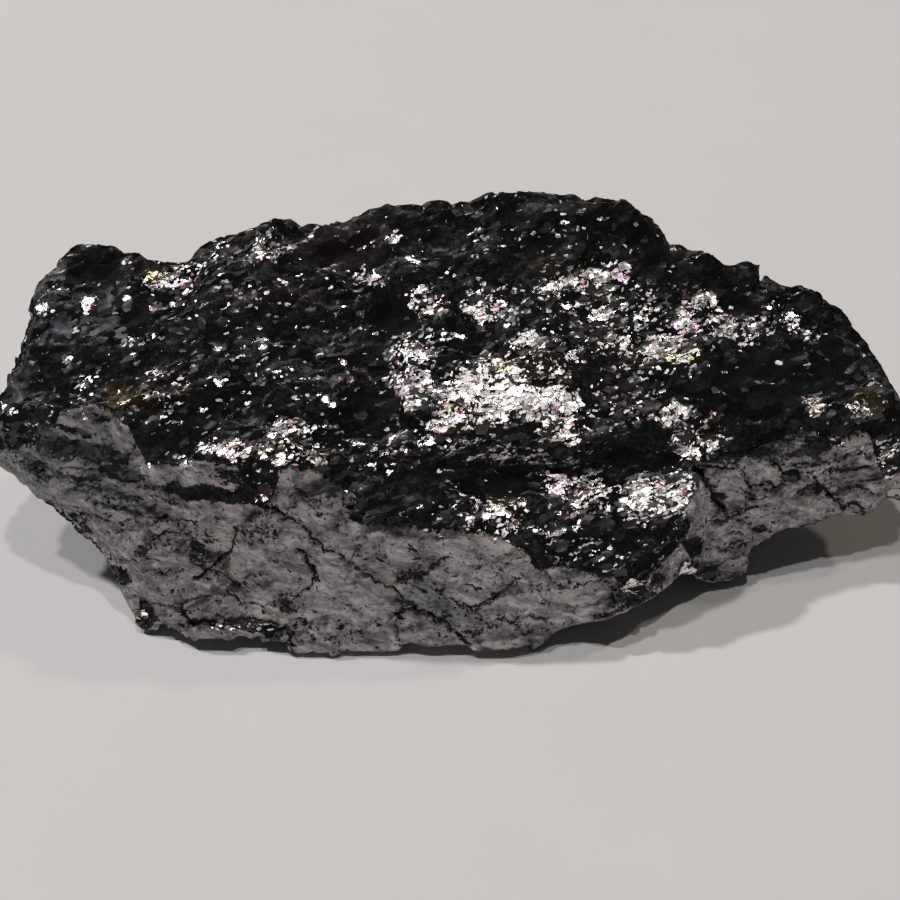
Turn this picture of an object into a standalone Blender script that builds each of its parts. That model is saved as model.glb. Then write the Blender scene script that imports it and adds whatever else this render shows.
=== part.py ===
"""Shungite stone: one rough lump of glassy black carbon rock.

The stone lies on a small flat foot. Its front is a nearly plane break that leans back a little; above that
brow the rock rises in hackly steps to a blocky crest. Both ends taper and hang clear of the table. Lengths in
the tables are millimetres: X runs along the stone, Y from front to back, Z up from the table.
"""

from math import floor

import bmesh
import bpy
import numpy as np
from mathutils import Vector, noise

MM = 0.001

# Overall size of the stone.
LENGTH = 95.0
DEPTH = 39.0
HEIGHT = 32.0

STATION_STEP = 1.5  # spacing of the cross-sections along X
GRAIN = 0.6  # edge of the surface grid that the breaks are cut into
FACE_BUDGET = 8600  # triangles left when the surface has been reduced to its facets
END_TAPER = 0.25  # how far an end section shrinks towards its middle

# Flat breaks: (size of one break, tilt, seed), coarse to fine. They run long along the streaks of the rock.
BREAKS = ((7.5, 0.26, 13.0), (3.4, 0.34, 11.0), (1.8, 0.16, 23.0))
STREAK = Vector((0.94, 0.26, 0.20)).normalized()
STRETCH = 1.6
BREAK_OFFSET = 0.08  # how far one break stands above the next, as a share of its size
BREAK_WALL = 0.9  # steepness of the walls between breaks
TILT_SEED = 7.31
OFFSET_SEED = 3.17

# How rough the rock broke by the way it faces, as a share of the top's roughness.
FRONT_ROUGHNESS = 0.2
FLANK_ROUGHNESS = 0.6
HOLLOW_ROUGHNESS = 0.4

# Shares of the normal where a facing starts to count, and over which it comes in fully.
UPWARD = (0.2, 0.35)
FORWARD = (0.3, 0.3)
DOWNWARD = (0.7, 0.3)
LEVEL = (0.0, 0.5)  # where the ledges stand out

# The rock splits along its bedding into ledges.
BEDDING = Vector((0.16, -0.28, 0.95)).normalized()
LEDGE_THICKNESS = 2.4
LEDGE_DEPTH = 0.7
LEDGE_RISER = 0.3  # share of a ledge's thickness that is its steep front
LEDGE_WANDER = 11.0

# Smooth shell-shaped hollows: (x, y, z, radius, depth).
HOLLOWS = (
    (-38.5, 3.0, 23.0, 5.0, 1.2),
    (-35.0, 7.0, 26.5, 4.5, 1.2),
    (-28.0, 8.5, 26.5, 3.6, 1.0),
    (-4, 4.0, 26.5, 4.0, 1.1),
    (-7, -1.0, 22.0, 3.6, 1.2),
    (-13, -3.5, 22.5, 3.0, 0.8),
    (31, 1.8, 18.6, 5.0, 1.2),
    (37, 2.0, 18.6, 4.0, 1.2),
    (28, 7.8, 23.4, 3.2, 1.0),
    (-5, -16.5, 8.5, 5.5, 0.6),
    (29, -10.5, 6.0, 5.0, 0.6),
)

# The stone's lines, front to back. Each point is (x, y, z); between points a line runs straight.
LINES = {
    "foot": [
        (-46, -1.5, 13.5), (-43, -4.5, 11.5), (-40, -7, 9.6), (-37.5, -8.5, 7.5), (-35.4, -9.6, 5.2),
        (-33, -13, 2.2), (-31, -15.4, 0.9), (-25, -17.3, 0.5), (-17, -18.5, 0.4), (-15.4, -18.5, -1.8),
        (-10, -18.7, -1.8), (6, -18.6, -1.8), (8.2, -17.6, -0.2), (10.6, -16.9, 2.2), (16, -16.5, 3.2),
        (20, -14.2, 3.6), (24, -11, 4.6), (25.4, -10.2, 0.9), (29, -10, 0.7), (31, -9.4, 1.8),
        (33, -7.2, 5), (39, -4.8, 5.3), (40, -4.6, 5.6), (42, -4.4, 4.6), (45.5, -3.6, 4.8), (47, -3, 6),
    ],
    "belly": [
        (-46, -2.5, 15), (-40, -6.8, 14), (-35, -8.8, 11.6), (-30, -12.4, 8.4), (-20, -14.8, 9),
        (-9, -16.8, 7.5), (6, -16.8, 7), (11, -16, 5.8), (20, -14.4, 5), (24, -10.8, 7),
        (26, -7.8, 8), (34, -5.4, 10), (42, -3.4, 10.4), (47, -2, 10.5),
    ],
    "brow": [
        (-46, -2.2, 16.4), (-43, -3.6, 17.2), (-40, -4.6, 18.5), (-37.5, -4.8, 19.6), (-35, -5.4, 19.6),
        (-32, -7.4, 18.7), (-29, -9.4, 17.9), (-25, -11, 19), (-18, -12.5, 19.8), (-12, -13.6, 18.6),
        (-9, -14.3, 15.6), (-5, -15, 14), (5, -15, 13.6), (8, -15.4, 12), (11, -15, 9.2),
        (16, -14.9, 8.4), (20, -13.6, 7), (23.4, -10.4, 8.6), (26, -6.2, 13.4), (30, -5, 14.4),
        (35, -3.2, 15), (41, -1.6, 14.8), (47, 0, 12.5),
    ],
    "ledge": [
        (-46, -1, 17), (-42, -1.8, 20), (-38, -2, 21.2), (-35, -3, 20.8), (-30, -7, 19.4),
        (-18, -9.8, 21.2), (-12, -11.4, 20.2), (-6, -12.6, 17.4), (5, -12.4, 16), (11, -13.4, 12.4),
        (18, -12.6, 11.6), (23, -9.6, 12.4), (27, -3.8, 15.6), (35, -1.4, 16.4), (42, 0, 16.2), (47, 1, 13.6),
    ],
    "tread": [
        (-46, 0, 17.6), (-38, 1.5, 23.4), (-30, -3, 20.8), (-18, -6.4, 22), (-10, -9.4, 19.8),
        (-4, -9.6, 18), (6, -8.4, 15.2), (14, -7.4, 14.4), (22, -6.2, 14.4), (27, -2.6, 16.2),
        (36, 0.4, 17.2), (42, 1.4, 17), (47, 1.6, 14.2),
    ],
    "shelf_front": [
        (-46, 0, 17.4), (-43.4, 1.4, 19.2), (-41.4, 2.6, 22), (-38, 4.4, 25), (-30, 1, 22.8), (-20, -3.6, 24),
        (-12, -7.4, 20.8), (-8, -9, 18.6), (-6, -8.8, 18.8), (-4.4, -8.4, 20.4), (5, -7.4, 19.4),
        (14, -5.6, 17.8), (22, -4.2, 17.8), (28, -0.6, 18), (36, 3.8, 20), (42, 4.2, 18.4), (47, 2.4, 14.4),
    ],
    "shelf_back": [
        (-46, 0.6, 17), (-43.4, 2.4, 19), (-41, 4.6, 22.2), (-38, 8, 25.6), (-30, 6.4, 24.6), (-20, 5, 27),
        (-12, 4.4, 25.6), (-8.4, 4.4, 24.4), (-6, 5.4, 25), (-3, 6.8, 27), (6, 8.4, 26.2), (15, 9.8, 25),
        (22, 9.4, 24.8), (28, 8.4, 23), (36, 8, 21.6), (42, 6.4, 18.2), (47, 3.4, 14.6),
    ],
    "crest_front": [
        (-46, 1, 17), (-44.4, 2.6, 18), (-43.4, 4.8, 19.6), (-42.4, 8.6, 23.6), (-41, 10.8, 26.2),
        (-39, 11.8, 27.4), (-37, 12, 28.6), (-33, 11.4, 28), (-30, 11, 26), (-27.4, 10.8, 25.8),
        (-26.4, 11.6, 27.2), (-22, 12.6, 29), (-18.4, 13.4, 30.6),
        (-17, 13.6, 30), (-14.5, 13.4, 28.6), (-10.8, 13.8, 29), (-8.2, 15, 29.8), (3, 15.2, 30.2),
        (4.4, 14.8, 32.2), (18, 13.8, 32.2), (20.6, 13, 30.4), (21.8, 12.2, 27), (26.4, 11.8, 26.6),
        (28.4, 11.2, 25.2), (29.4, 11, 26), (31.7, 11, 25.8), (32.2, 11, 23.2), (36, 11, 23.3),
        (38.4, 10.4, 21.6), (40.6, 9.6, 20.4), (42.6, 8.2, 18.6), (44.4, 6, 17), (47, 4, 14.6),
    ],
    "crest_back": [
        (-46, 1.6, 16.4), (-43.4, 4.8, 18.4), (-42, 11, 22), (-38, 14.6, 25), (-30, 14.4, 23.2),
        (-26, 15.4, 24), (-22, 16.4, 25),
        (-17, 17, 26.4), (-13, 17, 25.4), (-8, 17.8, 26), (3, 18.4, 27), (6, 18.4, 28.2), (12, 18.2, 28.8),
        (19, 17, 27.6), (22, 15.6, 24.2), (32, 14.4, 22.4), (34, 13.8, 19.8), (40, 12, 17.2), (44, 7.4, 14.2),
        (47, 4.6, 13.4),
    ],
    "back_brow": [
        (-46, 2.2, 16), (-44.4, 3.4, 16.4), (-42.6, 9, 18), (-40, 13, 20), (-30, 17, 19.6),
        (-18, 19, 21.4), (0, 19.5, 22.6),
        (14, 19.4, 23), (24, 18, 20), (34, 16, 17), (42, 12, 13.6), (47, 5, 12.6),
    ],
    "back_waist": [
        (-46, 3.4, 16), (-40, 12, 14), (-31, 16.6, 11), (-14, 18.6, 11.6), (4, 19.4, 10.6),
        (20, 18.6, 10.6), (32, 15, 10), (42, 10, 10), (47, 4.4, 10.6),
    ],
    "back_foot": [
        (-46, 2.4, 14.4), (-40, 7, 9.4), (-35, 11, 4.6), (-29, 13, -1.8), (-10, 15, -1.8),
        (8, 15.6, -1.8), (20, 13.6, -1.8), (27, 10.6, 2.2), (35, 7, 6), (42, 3.4, 8), (47, 2.4, 9),
    ],
    "sole": [
        (-46, 0.6, 13.8), (-40, -0.4, 9.4), (-36, 0, 5.4), (-31, -1, -3), (12, -1.4, -3),
        (20, 0, -0.6), (27, 0.4, 2.6), (35, 0, 5.4), (42, -0.8, 7), (47, -0.6, 8),
    ],
}


def section(x):
    """The closed ring of points, front foot to sole, where the plane at x cuts the stone's lines."""
    ring = []
    for points in LINES.values():
        table = np.array(points, float)
        ring.append((x, np.interp(x, table[:, 0], table[:, 1]), np.interp(x, table[:, 0], table[:, 2])))
    return np.array(ring)


def lofted_body():
    """A closed skin over the cross-sections, with each end drawn in and closed by one face."""
    stations = np.arange(-46.0, 47.0 + 0.01, STATION_STEP)
    rings = [section(x) for x in stations]
    for end, outward in ((0, -1), (-1, 1)):
        ring = rings[end]
        cap = ring.mean(axis=0) + (ring - ring.mean(axis=0)) * END_TAPER
        cap[:, 0] += outward
        rings.insert(0 if end == 0 else len(rings), cap)
    body = bmesh.new()
    loops = [[body.verts.new(point * MM) for point in ring] for ring in rings]
    for near, far in zip(loops, loops[1:]):
        for j in range(len(near)):
            k = (j + 1) % len(near)
            body.faces.new((near[j], near[k], far[k], far[j]))
    body.faces.new(loops[0])
    body.faces.new(reversed(loops[-1]))
    bmesh.ops.recalc_face_normals(body, faces=body.faces)
    mesh = bpy.data.meshes.new("shungite_stone")
    body.to_mesh(mesh)
    body.free()
    return mesh


def evaluated_mesh(stone):
    """The stone's mesh with its modifiers worked in."""
    graph = bpy.context.evaluated_depsgraph_get()
    return bpy.data.meshes.new_from_object(stone.evaluated_get(graph))


def regrid(stone, size):
    """Covers the stone with an even grid of faces, size millimetres apart."""
    grid = stone.modifiers.new("grid", "REMESH")
    grid.mode = "VOXEL"
    grid.voxel_size = size * MM
    stone.data = evaluated_mesh(stone)
    stone.modifiers.clear()


def break_height(point, size, tilt, seed):
    """Height of a patchwork of flat breaks: the lowest of the planes of the nearest cells of space."""
    squeezed = point - STREAK * point.dot(STREAK) * (1 - 1 / STRETCH)
    place = squeezed / size + Vector((seed, seed, seed))
    distances, centres = noise.voronoi(place)
    heights = []
    for distance, centre in zip(distances, centres):
        slope = 2 * tilt * (noise.cell_vector(centre * TILT_SEED) - Vector((0.5, 0.5, 0.5)))
        plane = slope.dot(place - centre) + BREAK_OFFSET * noise.cell(centre * OFFSET_SEED)
        heights.append(plane + BREAK_WALL * (distance - distances[0]))
    return size * min(heights)


def ledge_height(point):
    """How far the nearest bedding ledge stands above the even slope."""
    wander = noise.noise(point / LEDGE_WANDER) * LEDGE_THICKNESS
    level = (point.dot(BEDDING) + wander) / LEDGE_THICKNESS
    part = level - floor(level)
    return LEDGE_DEPTH * (min(part / LEDGE_RISER, 1) - part)


def hollow_depth(point):
    """How deep the smooth hollows cut in at a point."""
    depths = [0]
    for x, y, z, radius, depth in HOLLOWS:
        reach = (point - Vector((x, y, z))).length / radius
        depths.append(depth * (1 - reach * reach))
    return max(depths)


def faces(lean, span):
    """How much a surface faces one way, from 0 to 1, by its normal's share that way."""
    start, width = span
    return min(max((lean - start) / width, 0), 1)


def roughness(normal):
    """How rough the rock broke, by the way that the surface faces."""
    flank = FLANK_ROUGHNESS + (FRONT_ROUGHNESS - FLANK_ROUGHNESS) * faces(-normal.y, FORWARD)
    return (flank + (1 - flank) * faces(normal.z, UPWARD)) * (1 - faces(-normal.z, DOWNWARD))


def break_surface(stone):
    """Moves the surface along its normals into flat breaks, ledges and hollows."""
    normals = [vertex.normal.copy() for vertex in stone.data.vertices]
    for vertex, normal in zip(stone.data.vertices, normals):
        point = vertex.co / MM
        hollow = hollow_depth(point)
        rough = roughness(normal) * max(1 - hollow, HOLLOW_ROUGHNESS)
        breaks = sum(break_height(point, *each) for each in BREAKS)
        ledges = ledge_height(point) * faces(normal.z, LEVEL)
        vertex.co += normal * (rough * (breaks + ledges) - hollow) * MM


def reduce_to_facets(stone):
    """Merges the grid into as few triangles as still hold the breaks."""
    reduce = stone.modifiers.new("facets", "DECIMATE")
    reduce.ratio = FACE_BUDGET / (2 * len(stone.data.polygons))
    stone.data = evaluated_mesh(stone)
    stone.modifiers.clear()


def cut_flat_foot(stone):
    """Cuts the underside off at the table, so that the stone has one flat face to rest on."""
    body = bmesh.new()
    body.from_mesh(stone.data)
    everything = body.verts[:] + body.edges[:] + body.faces[:]
    table = Vector((0, 0, 0))
    cut = bmesh.ops.bisect_plane(body, geom=everything, plane_co=table, plane_no=(0, 0, 1), clear_inner=True)
    rim = [element for element in cut["geom_cut"] if isinstance(element, bmesh.types.BMEdge)]
    bmesh.ops.holes_fill(body, edges=rim)
    bmesh.ops.triangulate(body, faces=body.faces)
    body.to_mesh(stone.data)
    body.free()


def fit_to_size(stone):
    """Scales the stone to its overall size and stands the middle of its box's base on the origin."""
    corners = np.array([vertex.co for vertex in stone.data.vertices])
    low, high = corners.min(axis=0), corners.max(axis=0)
    size = np.array([LENGTH, DEPTH, HEIGHT]) * MM
    middle = (low + high) / 2
    middle[2] = low[2]
    for vertex in stone.data.vertices:
        vertex.co = (np.array(vertex.co) - middle) * size / (high - low)


def shungite():
    """The glassy black carbon of the stone, with its dull metal lustre."""
    material = bpy.data.materials.new("shungite")
    material.use_nodes = True
    shader = material.node_tree.nodes["Principled BSDF"]
    shader.inputs["Base Color"].default_value = (0.17, 0.165, 0.17, 1)
    shader.inputs["Metallic"].default_value = 1.0
    shader.inputs["Roughness"].default_value = 0.3
    return material


def main():
    for leftover in list(bpy.data.objects):
        bpy.data.objects.remove(leftover)
    collection = bpy.data.collections.new("shungite stone")
    bpy.context.scene.collection.children.link(collection)
    stone = bpy.data.objects.new("shungite_stone", lofted_body())
    collection.objects.link(stone)
    regrid(stone, GRAIN)
    break_surface(stone)
    reduce_to_facets(stone)
    cut_flat_foot(stone)
    fit_to_size(stone)
    stone.data.materials.append(shungite())


main()
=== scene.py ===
"""Shungite stone on a pale table, lit by four ceiling lamps."""
import math

import bmesh
import bpy
import numpy as np
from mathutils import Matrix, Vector, noise


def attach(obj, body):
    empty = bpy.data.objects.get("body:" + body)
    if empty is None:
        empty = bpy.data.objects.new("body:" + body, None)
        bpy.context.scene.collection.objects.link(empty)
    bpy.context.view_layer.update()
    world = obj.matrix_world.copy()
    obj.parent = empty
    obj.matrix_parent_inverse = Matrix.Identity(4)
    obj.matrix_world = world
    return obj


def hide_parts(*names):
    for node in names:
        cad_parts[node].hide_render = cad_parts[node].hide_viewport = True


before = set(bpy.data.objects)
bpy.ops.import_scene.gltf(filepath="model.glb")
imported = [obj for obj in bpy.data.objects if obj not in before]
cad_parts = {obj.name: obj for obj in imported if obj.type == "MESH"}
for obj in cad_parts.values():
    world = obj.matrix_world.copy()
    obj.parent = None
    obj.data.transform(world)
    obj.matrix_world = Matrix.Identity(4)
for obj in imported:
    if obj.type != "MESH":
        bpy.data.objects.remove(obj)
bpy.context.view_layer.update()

MM = 0.001

# The first view: from the front and above.
TARGET = Vector((-0.78, -4.30, 14.0)) * MM
ELEVATION = math.radians(42)
DISTANCE = 200 * MM
FOCAL_LENGTH = 80
SENSOR = 36
CLIP_START = 0.01
BACKWARD = Vector((0, -math.cos(ELEVATION), math.sin(ELEVATION)))  # from the stone to the viewer
UPWARD = Vector((0, math.sin(ELEVATION), math.cos(ELEVATION)))

# ---------------- marks on the stone

# Marks are laid out on the stone as it looks in the first view. Each is in tenths of a millimetre, across
# from the left and down from the top of a field 90 mm wide, and stays on the surface that it falls on there.
FIELD = 900

# Where the rock's cleavage faces the lamps and sparkles:
# (across, down, half width, half height, share of grains).
SPARKLES = (
    (426, 302, 22, 15, 0.85), (485, 305, 20, 20, 1.3), (547, 288, 18, 16, 0.65), (586, 277, 29, 10, 1.15),
    (622, 271, 15, 10, 0.83), (641, 288, 18, 9, 0.59), (706, 299, 13, 12, 1.3), (645, 314, 18, 9, 0.71),
    (683, 320, 18, 18, 0.9), (618, 343, 22, 15, 0.75), (669, 348, 30, 15, 1.1), (414, 355, 24, 18, 0.75),
    (445, 338, 18, 7, 0.77), (530, 345, 20, 11, 1.2), (560, 336, 10, 9, 0.53), (505, 289, 22, 7, 0.53),
    (505, 366, 12, 10, 0.59), (542, 373, 22, 17, 0.85), (574, 362, 16, 10, 0.65), (487, 392, 49, 31, 1.55),
    (414, 388, 20, 22, 1.1), (552, 407, 30, 20, 1.4), (562, 432, 31, 13, 1), (455, 408, 25, 20, 0.71),
    (442, 425, 20, 8, 1), (621, 400, 36, 34, 0.42), (675, 416, 22, 13, 1.1), (695, 442, 29, 17, 0.85),
    (706, 424, 16, 11, 0.71), (580, 470, 36, 11, 0.65), (578, 490, 31, 27, 0.95), (652, 502, 38, 22, 1.2),
    (680, 485, 18, 22, 0.65), (486, 515, 49, 20, 0.75), (552, 528, 27, 13, 0.7), (600, 555, 60, 20, 0.31),
    (638, 588, 16, 9, 1), (290, 432, 29, 16, 0.77), (243, 450, 47, 11, 0.89), (312, 456, 25, 10, 0.77),
    (290, 463, 17, 4, 1), (158, 278, 18, 13, 0.85), (182, 282, 16, 13, 0.65), (194, 270, 11, 9, 0.65),
    (46, 311, 11, 9, 0.8), (86, 303, 8, 11, 0.8), (128, 262, 6, 7, 1), (862, 407, 13, 10, 0.89),
    (818, 404, 13, 9, 0.89), (890, 462, 13, 22, 0.65), (368, 280, 29, 11, 0.53), (395, 237, 13, 6, 0.65),
    (410, 262, 13, 6, 0.53), (225, 255, 29, 13, 0.45), (264, 248, 10, 20, 0.6), (276, 246, 7, 18, 0.6),
    (730, 326, 49, 13, 0.77), (748, 335, 12, 16, 1), (790, 320, 11, 7, 0.89), (803, 330, 27, 8, 0.53),
    (775, 305, 11, 7, 0.41), (560, 240, 60, 30, 0.24), (240, 300, 60, 24, 0.22), (250, 360, 70, 30, 0.2),
    (300, 385, 60, 20, 0.18), (150, 395, 40, 25, 0.35), (90, 390, 20, 26, 0.35), (10, 411, 9, 6, 0.71),
    (27, 427, 8, 6, 0.71), (130, 350, 13, 11, 0.47), (750, 287, 16, 3, 0.77), (262, 494, 9, 9, 1),
    (275, 539, 6, 3, 1), (143, 615, 4, 4, 1), (80, 518, 16, 9, 0.41), (255, 627, 38, 6, 0.47),
    (690, 572, 7, 6, 1), (835, 440, 7, 6, 0.77), (860, 452, 6, 8, 0.89), (885, 443, 9, 4, 0.77),
    (815, 473, 10, 3, 0.77), (181, 463, 9, 6, 0.89), (150, 466, 11, 4, 0.53), (640, 330, 80, 44, 0.52),
    (590, 310, 80, 34, 0.46), (440, 444, 80, 14, 0.6), (500, 458, 80, 14, 0.6), (560, 470, 50, 10, 0.7),
    (380, 462, 40, 12, 0.55),
)
SPARKLE_EVERYWHERE = 0.07
SPARKLE_BEHIND = 0.40

GLINT_HEIGHT = 0.6  # of a single bright grain, as a share of its width

# Single bright grains: (half width, (across, down) of each).
GLINTS = (
    (2, (
        (41, 400), (297, 327), (420, 240), (640, 250), (400, 461),
    )),
    (3, (
        (99, 285), (171, 319), (187, 330), (129, 398), (350, 356), (268, 329), (304, 279), (272, 303),
        (228, 303), (355, 462), (366, 462), (103, 556), (738, 368), (248, 286), (190, 319), (179, 321),
        (115, 372), (84, 386), (94, 388), (9, 412), (14, 408), (281, 377), (292, 370), (247, 372),
        (310, 378), (322, 320), (552, 230), (515, 238), (395, 238), (391, 237), (348, 271), (379, 268),
        (381, 278), (371, 283), (357, 274), (594, 262), (625, 305), (605, 310), (590, 325), (655, 380),
        (690, 378), (720, 392), (640, 392), (401, 460), (501, 451), (470, 489), (400, 516),
    )),
    (4, (
        (127, 262), (68, 357), (65, 361), (42, 371), (207, 410), (349, 382), (343, 365), (362, 328),
        (258, 328), (240, 328), (217, 380), (221, 383), (289, 304), (348, 442), (360, 447), (197, 290),
        (735, 354), (725, 372), (780, 362), (808, 365), (172, 302), (275, 372), (277, 345), (477, 228),
        (484, 236), (486, 250), (430, 300), (563, 222), (558, 236), (539, 236), (522, 246), (364, 265),
        (617, 388), (612, 412), (640, 420), (356, 446), (342, 444), (356, 462), (363, 445), (389, 473),
        (445, 443), (465, 442), (485, 460), (498, 464), (507, 466), (514, 451), (520, 450), (494, 452),
        (542, 474), (529, 473), (548, 506), (440, 536), (426, 531), (420, 508),
    )),
    (5, (
        (75, 330), (151, 336), (127, 346), (203, 410), (296, 399), (318, 396), (325, 401), (332, 406),
        (217, 347), (285, 283), (240, 310), (202, 263), (152, 305), (476, 255), (447, 441), (475, 455),
        (388, 466), (441, 471), (449, 471), (542, 442), (553, 442), (456, 515), (463, 495),
    )),
    (6, (
        (127, 299), (146, 396), (157, 372), (263, 347), (561, 440), (485, 515), (522, 502), (535, 531),
    )),
    (7, (
        (449, 524), (498, 502),
    )),
    (8, (
        (472, 456), (507, 526),
    )),
)

# Where the rock broke smooth and dark: (across, down, half width, half height, how smooth).
SMOOTH = (
    (90, 275, 26, 14, 1), (62, 325, 20, 16, 1), (108, 298, 15, 20, 1), (130, 316, 14, 14, 0.9),
    (395, 320, 24, 22, 1), (370, 412, 36, 30, 0.8), (735, 307, 34, 9, 1), (770, 385, 72, 32, 0.9),
    (832, 355, 22, 18, 0.8), (560, 226, 76, 20, 0.7), (335, 254, 44, 18, 0.7), (640, 456, 44, 9, 0.9),
    (560, 545, 22, 20, 0.9), (640, 562, 18, 14, 1), (495, 488, 44, 12, 0.7), (700, 570, 18, 18, 0.9),
    (18, 388, 18, 22, 0.6), (220, 385, 34, 20, 0.5), (640, 230, 18, 20, 0.8), (860, 440, 30, 10, 0.7),
)

# Bluish, brown, pink and golden places: (across, down, half width, half height, strength).
COOL = (
    (75, 310, 55, 50, 1), (20, 390, 30, 45, 0.9), (70, 470, 85, 50, 0.8), (780, 370, 70, 40, 0.5),
    (220, 330, 60, 14, 0.5), (635, 560, 30, 18, 0.8), (705, 572, 24, 18, 0.8), (550, 515, 20, 20, 0.6),
    (390, 500, 40, 16, 0.7), (425, 594, 30, 16, 1), (452, 614, 24, 12, 0.9),
)
WARM = (
    (122, 395, 17, 15, 1), (165, 385, 24, 24, 0.6), (340, 245, 50, 20, 0.7), (500, 480, 60, 20, 0.3),
    (270, 300, 60, 20, 0.4), (400, 575, 22, 12, 0.5), (610, 380, 60, 40, 0.3), (800, 560, 60, 30, 0.3),
)
PINK = (
    (424, 300, 22, 12, 0.9), (683, 325, 22, 18, 0.8), (412, 388, 24, 22, 0.7), (455, 408, 24, 20, 0.8),
    (706, 424, 20, 12, 0.8), (248, 448, 46, 12, 0.9), (622, 271, 14, 9, 0.9), (562, 492, 16, 14, 1),
    (182, 282, 16, 12, 0.9), (46, 311, 12, 9, 0.7), (730, 322, 20, 10, 0.9), (262, 494, 10, 9, 1),
    (155, 396, 12, 10, 0.9), (612, 490, 10, 12, 0.8), (582, 526, 14, 10, 0.8), (776, 303, 12, 8, 0.9),
    (690, 572, 10, 8, 0.8), (560, 336, 10, 10, 0.7), (512, 290, 22, 8, 0.6), (143, 615, 6, 6, 1),
)
GOLD = (
    (868, 404, 16, 14, 0.6), (817, 400, 7, 6, 1), (154, 273, 12, 8, 0.9), (586, 277, 22, 9, 0.5),
    (545, 266, 14, 6, 0.35), (675, 352, 24, 10, 0.5), (505, 366, 12, 9, 0.9), (540, 372, 16, 10, 0.4),
    (500, 505, 16, 12, 0.5), (126, 396, 20, 12, 1), (442, 426, 14, 6, 0.6),
)

# Small satin facets above the brow, given a lighter matte grey that paints their sheen: (across, down, half
# width, half height, strength).
PAINTED_SATIN_SHEEN = (
    (62, 323, 15, 12, 0.68), (104, 297, 10, 16, 0.68), (92, 318, 10, 8, 0.52), (132, 308, 10, 12, 0.4),
    (120, 325, 14, 6, 0.3), (88, 276, 8, 3, 0.22), (42, 283, 7, 16, 0.52), (56, 268, 10, 6, 0.45),
    (20, 375, 14, 26, 0.45), (10, 430, 10, 20, 0.45), (513, 315, 5, 13, 0.75), (392, 345, 10, 6, 0.52),
    (385, 350, 6, 8, 0.45), (564, 540, 9, 12, 0.52), (620, 572, 8, 10, 0.45), (232, 262, 10, 5, 0.38),
    (255, 248, 14, 12, 0.38), (240, 344, 12, 7, 0.45), (262, 345, 8, 5, 0.38), (852, 350, 10, 20, 0.45),
    (872, 380, 9, 18, 0.45), (836, 322, 16, 10, 0.3), (790, 292, 18, 5, 0.38), (762, 276, 7, 8, 0.3),
    (868, 418, 14, 6, 0.52), (615, 235, 14, 18, 0.22), (350, 480, 16, 8, 0.38), (370, 500, 8, 6, 0.45),
    (300, 425, 10, 10, 0.38), (415, 315, 16, 3, 0.38), (120, 365, 24, 14, 0.18), (700, 578, 12, 8, 0.3),
    (172, 432, 10, 8, 0.22), (530, 470, 8, 5, 0.22), (668, 440, 14, 5, 0.3),
)

# The upper edge of the plane front break, from left to right: (across, down).
BROW = (
    (-30, 452), (0, 448), (20, 447), (38, 440), (55, 425), (62, 412), (80, 404), (98, 405), (115, 415),
    (128, 428), (136, 445), (146, 466), (160, 466), (205, 464), (236, 466), (241, 482), (252, 500),
    (262, 508), (274, 496), (278, 474), (290, 468), (310, 470), (330, 484), (352, 492), (362, 515),
    (380, 524), (430, 532), (500, 535), (512, 546), (528, 553), (532, 569), (570, 569), (600, 577),
    (616, 578), (618, 600), (640, 604), (652, 578), (670, 562), (686, 542), (687, 470), (694, 464),
    (730, 461), (745, 452), (775, 441), (800, 432), (816, 431), (830, 446), (845, 436), (870, 433),
    (880, 470), (930, 474),
)
BROW_SOFT = 24.0  # how wide the boundary is before the grain makes it ragged
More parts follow.
